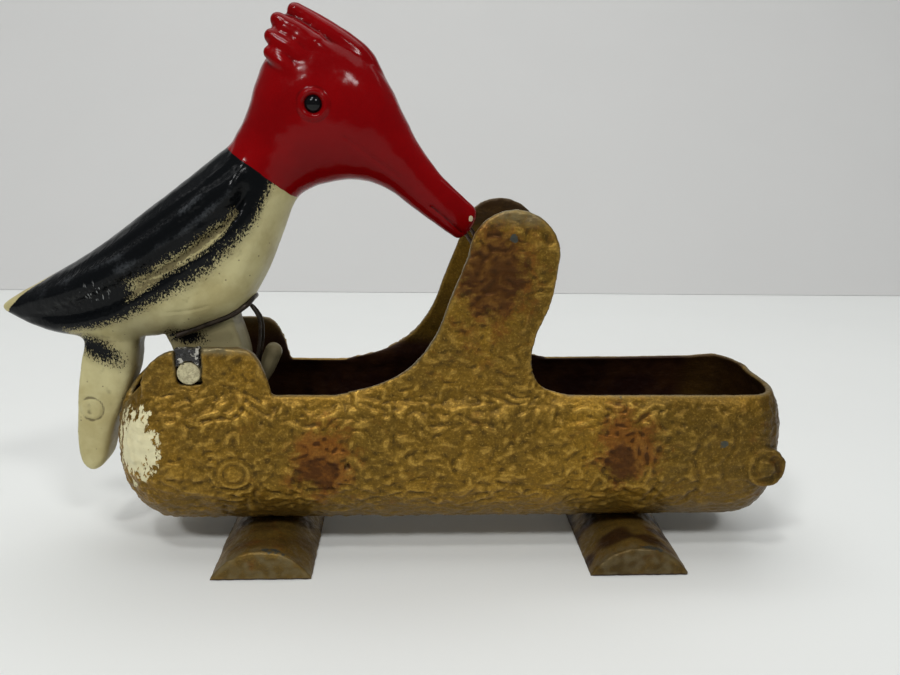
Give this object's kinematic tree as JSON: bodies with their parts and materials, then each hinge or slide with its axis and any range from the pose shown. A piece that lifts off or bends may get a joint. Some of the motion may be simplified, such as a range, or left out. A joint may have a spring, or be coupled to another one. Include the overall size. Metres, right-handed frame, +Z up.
{
  "type": "woodpecker cigarette dispenser",
  "caption": "Spring-loaded cast bird on an open log trough; pushed down, it dips its needled beak between two branch stubs and lifts one cigarette out.",
  "frame": {"origin": "centre of the footprint, on the surface the two feet stand on", "axes": "+X along the log, the way the beak points; +Z up; +Y completes the right-handed frame, away from the viewer of the beak-right side"},
  "size_m": [0.1878, 0.0512, 0.1279],
  "materials": {
    "bronze_paint": "satin bronze-gold paint over a bark-textured casting",
    "cream_enamel": "glossy cream enamel with black and red lacquer over it",
    "black_filler": "hard glossy black filler",
    "eye_black": "glossy black bead",
    "spring_steel": "dark oxidised spring wire",
    "bright_steel": "plain steel, slightly tarnished"
  },
  "bodies": {
    "log": {"log_body": "bronze_paint", "left_foot": "bronze_paint", "right_foot": "bronze_paint", "left_foot_rivet": "bright_steel", "right_foot_rivet": "bright_steel", "axle_keeper_front": "black_filler", "axle_keeper_rear": "black_filler", "return_spring": "spring_steel"},
    "bird": {"bird_casting": "cream_enamel", "pivot_axle": "cream_enamel", "eye_bead_front": "eye_black", "eye_bead_rear": "eye_black", "beak_needle_lower": "bright_steel", "beak_needle_upper": "bright_steel", "spring_bail": "spring_steel"}
  },
  "joints": [
    {"name": "peck", "type": "hinge", "parent": "log", "child": "bird", "pos_m": [-0.0478, 0, 0.0467], "axis": [0, 1, 0], "range_deg": [0, 50], "stiffness_Nm_per_rad": 0.12, "springref_deg": -34.38, "deforming": ["return_spring"]}
  ]
}
